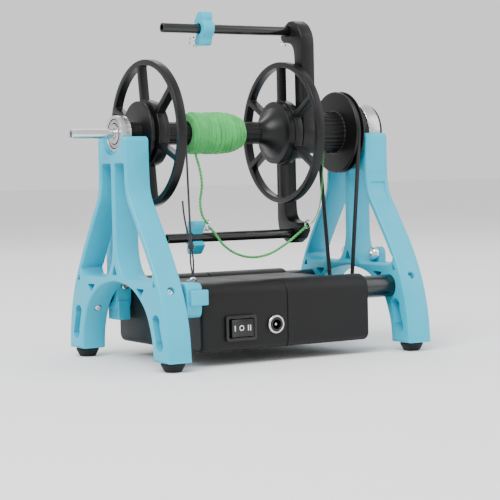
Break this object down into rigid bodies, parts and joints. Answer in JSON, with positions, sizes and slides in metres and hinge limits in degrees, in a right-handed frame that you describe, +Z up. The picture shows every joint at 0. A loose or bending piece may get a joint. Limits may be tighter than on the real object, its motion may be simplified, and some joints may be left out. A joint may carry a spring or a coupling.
{
  "type": "electric spinning wheel",
  "caption": "Electric table-top spinning wheel with two arched legs, a motor housing, a belt-driven flyer with sliding hooks, and a spoked bobbin carrying yarn.",
  "frame": {"origin": "centre of the bounding box's base, on the surface it stands on", "axes": "+X along the flyer's axis towards the orifice, +Y to the rear (the switch side is -Y), +Z up"},
  "size_m": [0.2148, 0.1324, 0.2146],
  "materials": {
    "blue_plastic": "satin",
    "black_plastic": "satin",
    "painted_tube": "satin",
    "polished_steel": "polished",
    "motor_can": "brushed",
    "circuit_board": "gloss",
    "foot_rubber": "matt",
    "belt_rubber": "matt",
    "brake_string": "twisted cord",
    "green_yarn": "twisted yarn"
  },
  "bodies": {
    "frame": {"left_leg": "blue_plastic", "right_leg": "blue_plastic", "rear_anchor": "blue_plastic", "left_housing": "black_plastic", "right_housing": "black_plastic", "switch_frame": "black_plastic", "power_socket_sleeve": "black_plastic", "pedal_socket": "black_plastic", "front_tube": "painted_tube", "rear_tube": "painted_tube", "set_screw_left_front": "polished_steel", "set_screw_left_rear": "polished_steel", "set_screw_right_front": "polished_steel", "set_screw_right_rear": "polished_steel", "leg_bolt_front": "polished_steel", "leg_bolt_rear": "polished_steel", "seam_strip": "polished_steel", "seam_screw_left": "polished_steel", "seam_screw_right": "polished_steel", "motor_screw_front": "polished_steel", "motor_screw_rear": "polished_steel", "power_socket_nut": "polished_steel", "power_socket_pin": "polished_steel", "left_bearing_outer": "polished_steel", "right_bearing_outer": "polished_steel", "anchor_screw": "polished_steel", "motor": "motor_can", "circuit_board": "circuit_board", "rubber_foot_left_front": "foot_rubber", "rubber_foot_left_rear": "foot_rubber", "rubber_foot_right_front": "foot_rubber", "rubber_foot_right_rear": "foot_rubber", "drive_belt": "belt_rubber", "brake_cord": "brake_string"},
    "flyer": {"flyer_shaft": "polished_steel", "flyer_arm": "black_plastic", "upper_rod": "painted_tube", "lower_rod": "painted_tube", "drive_whorl": "black_plastic", "orifice_ring": "black_plastic", "left_bearing_inner": "polished_steel", "right_bearing_inner": "polished_steel", "lower_arm_eye": "polished_steel", "upper_arm_eye": "polished_steel", "package_strand": "green_yarn", "loop_strand": "green_yarn", "orifice_strand": "green_yarn"},
    "bobbin": {"bobbin_core": "black_plastic", "left_flange": "black_plastic", "right_flange": "black_plastic", "yarn_package": "green_yarn"},
    "upper_slider": {"upper_hook": "blue_plastic", "upper_hook_eye": "polished_steel"},
    "lower_slider": {"lower_hook": "blue_plastic", "lower_hook_eye": "polished_steel"},
    "motor_drive": {"motor_shaft": "polished_steel", "drive_pulley": "black_plastic"},
    "rocker": {"rocker": "black_plastic"},
    "peg": {"tension_peg": "blue_plastic", "tension_peg_eye": "polished_steel"}
  },
  "joints": [
    {"name": "flyer_spin", "type": "hinge", "parent": "frame", "child": "flyer", "pos_m": [0, 0, 0.1395], "axis": [1, 0, 0], "continuous": true},
    {"name": "bobbin_spin", "type": "hinge", "parent": "flyer", "child": "bobbin", "pos_m": [0, 0, 0.1395], "axis": [1, 0, 0], "continuous": true},
    {"name": "motor_spin", "type": "hinge", "parent": "frame", "child": "motor_drive", "pos_m": [0.0845, 0, 0.03], "axis": [1, 0, 0], "continuous": true},
    {"name": "upper_hook_slide", "type": "slide", "parent": "flyer", "child": "upper_slider", "axis": [1, 0, 0], "range_m": [-0.021, 0.057]},
    {"name": "lower_hook_slide", "type": "slide", "parent": "flyer", "child": "lower_slider", "axis": [1, 0, 0], "range_m": [-0.016, 0.062], "deforming": ["package_strand", "loop_strand"]},
    {"name": "rocker_tilt", "type": "hinge", "parent": "frame", "child": "rocker", "pos_m": [-0.0254, -0.0532, 0.0223], "axis": [0, 0, 1], "range_deg": [-12, 12]},
    {"name": "peg_turn", "type": "hinge", "parent": "frame", "child": "peg", "pos_m": [-0.057, -0.0455, 0.041], "axis": [1, 0, 0], "range_deg": [-40, 5], "deforming": ["brake_cord"]}
  ],
  "couplings": [
    {"joint": "motor_spin", "follows": "flyer_spin", "ratio": 2.1909}
  ]
}
